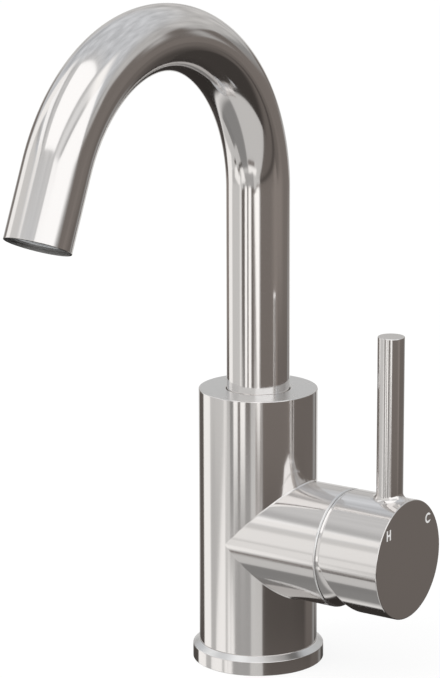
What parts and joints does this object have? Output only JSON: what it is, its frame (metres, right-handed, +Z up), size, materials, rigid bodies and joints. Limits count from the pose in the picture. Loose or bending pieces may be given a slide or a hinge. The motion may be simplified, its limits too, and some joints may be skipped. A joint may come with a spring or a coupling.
{
  "type": "bathroom sink faucet",
  "caption": "Single-hole bathroom sink faucet with a round upright body, a swivelling arched tube spout and a side lever that tilts for flow and turns for temperature.",
  "frame": {"origin": "on the upright body's axis, at the deck that the base ring rests on, midway between the two stud holes", "axes": "+Z up along the body, -Y towards the basin, where the spout points at rest, +X towards the side lever"},
  "size_m": [0.0982, 0.1784, 0.2739],
  "materials": {
    "chrome": "polished",
    "brass": "satin",
    "steel": "satin",
    "spring_steel": "satin",
    "rubber": "matte",
    "bearing_plastic": "satin",
    "cartridge_plastic": "satin",
    "turret_plastic": "satin",
    "red_plastic": "satin",
    "aerator_plastic": "satin",
    "disc_ceramic": "polished",
    "mark_enamel": "gloss"
  },
  "bodies": {
    "body": {"base_gasket": "rubber", "base_ring": "chrome", "body_shell": "chrome", "valve_block": "brass", "block_clip": "spring_steel", "spout_bushing": "bearing_plastic", "spout_thrust_washer": "bearing_plastic", "spout_retaining_screw": "steel", "cartridge_base": "cartridge_plastic", "cartridge_seat_seals": "rubber", "disc_seals": "rubber", "fixed_disc": "disc_ceramic", "cartridge_housing": "cartridge_plastic", "temperature_stop_ring": "red_plastic", "bonnet_nut": "brass", "bonnet_cover": "chrome"},
    "spout": {"spout_tube": "chrome", "spout_nipple": "brass", "spout_o_rings": "rubber", "outlet_bush": "chrome", "aerator_gasket": "rubber", "aerator_housing": "aerator_plastic", "aerator_grille": "aerator_plastic", "aerator_jet_former": "aerator_plastic", "aerator_screen": "steel"},
    "turret": {"cartridge_turret": "turret_plastic", "pivot_pin": "steel"},
    "lever": {"stem": "steel", "handle": "chrome", "handle_set_screw": "steel", "set_screw_cap": "chrome", "hot_mark": "mark_enamel", "cold_mark": "mark_enamel"},
    "disc": {"disc_carrier": "cartridge_plastic", "moving_disc": "disc_ceramic"}
  },
  "joints": [
    {"name": "spout_swivel", "type": "hinge", "parent": "body", "child": "spout", "pos_m": [0, 0, 0.1], "axis": [0, 0, 1], "continuous": true},
    {"name": "lever_temperature", "type": "hinge", "parent": "body", "child": "turret", "pos_m": [0.036, 0, 0.0532], "axis": [1, 0, 0], "range_deg": [-45, 45]},
    {"name": "lever_flow", "type": "hinge", "parent": "turret", "child": "lever", "pos_m": [0.036, 0, 0.0532], "axis": [0, 1, 0], "range_deg": [0, 25]},
    {"name": "disc_travel", "type": "slide", "parent": "turret", "child": "disc", "axis": [0, 0, 1], "range_m": [0, 0.003]}
  ],
  "couplings": [
    {"joint": "disc_travel", "follows": "lever_flow", "m_per_rad": 0.006586}
  ]
}
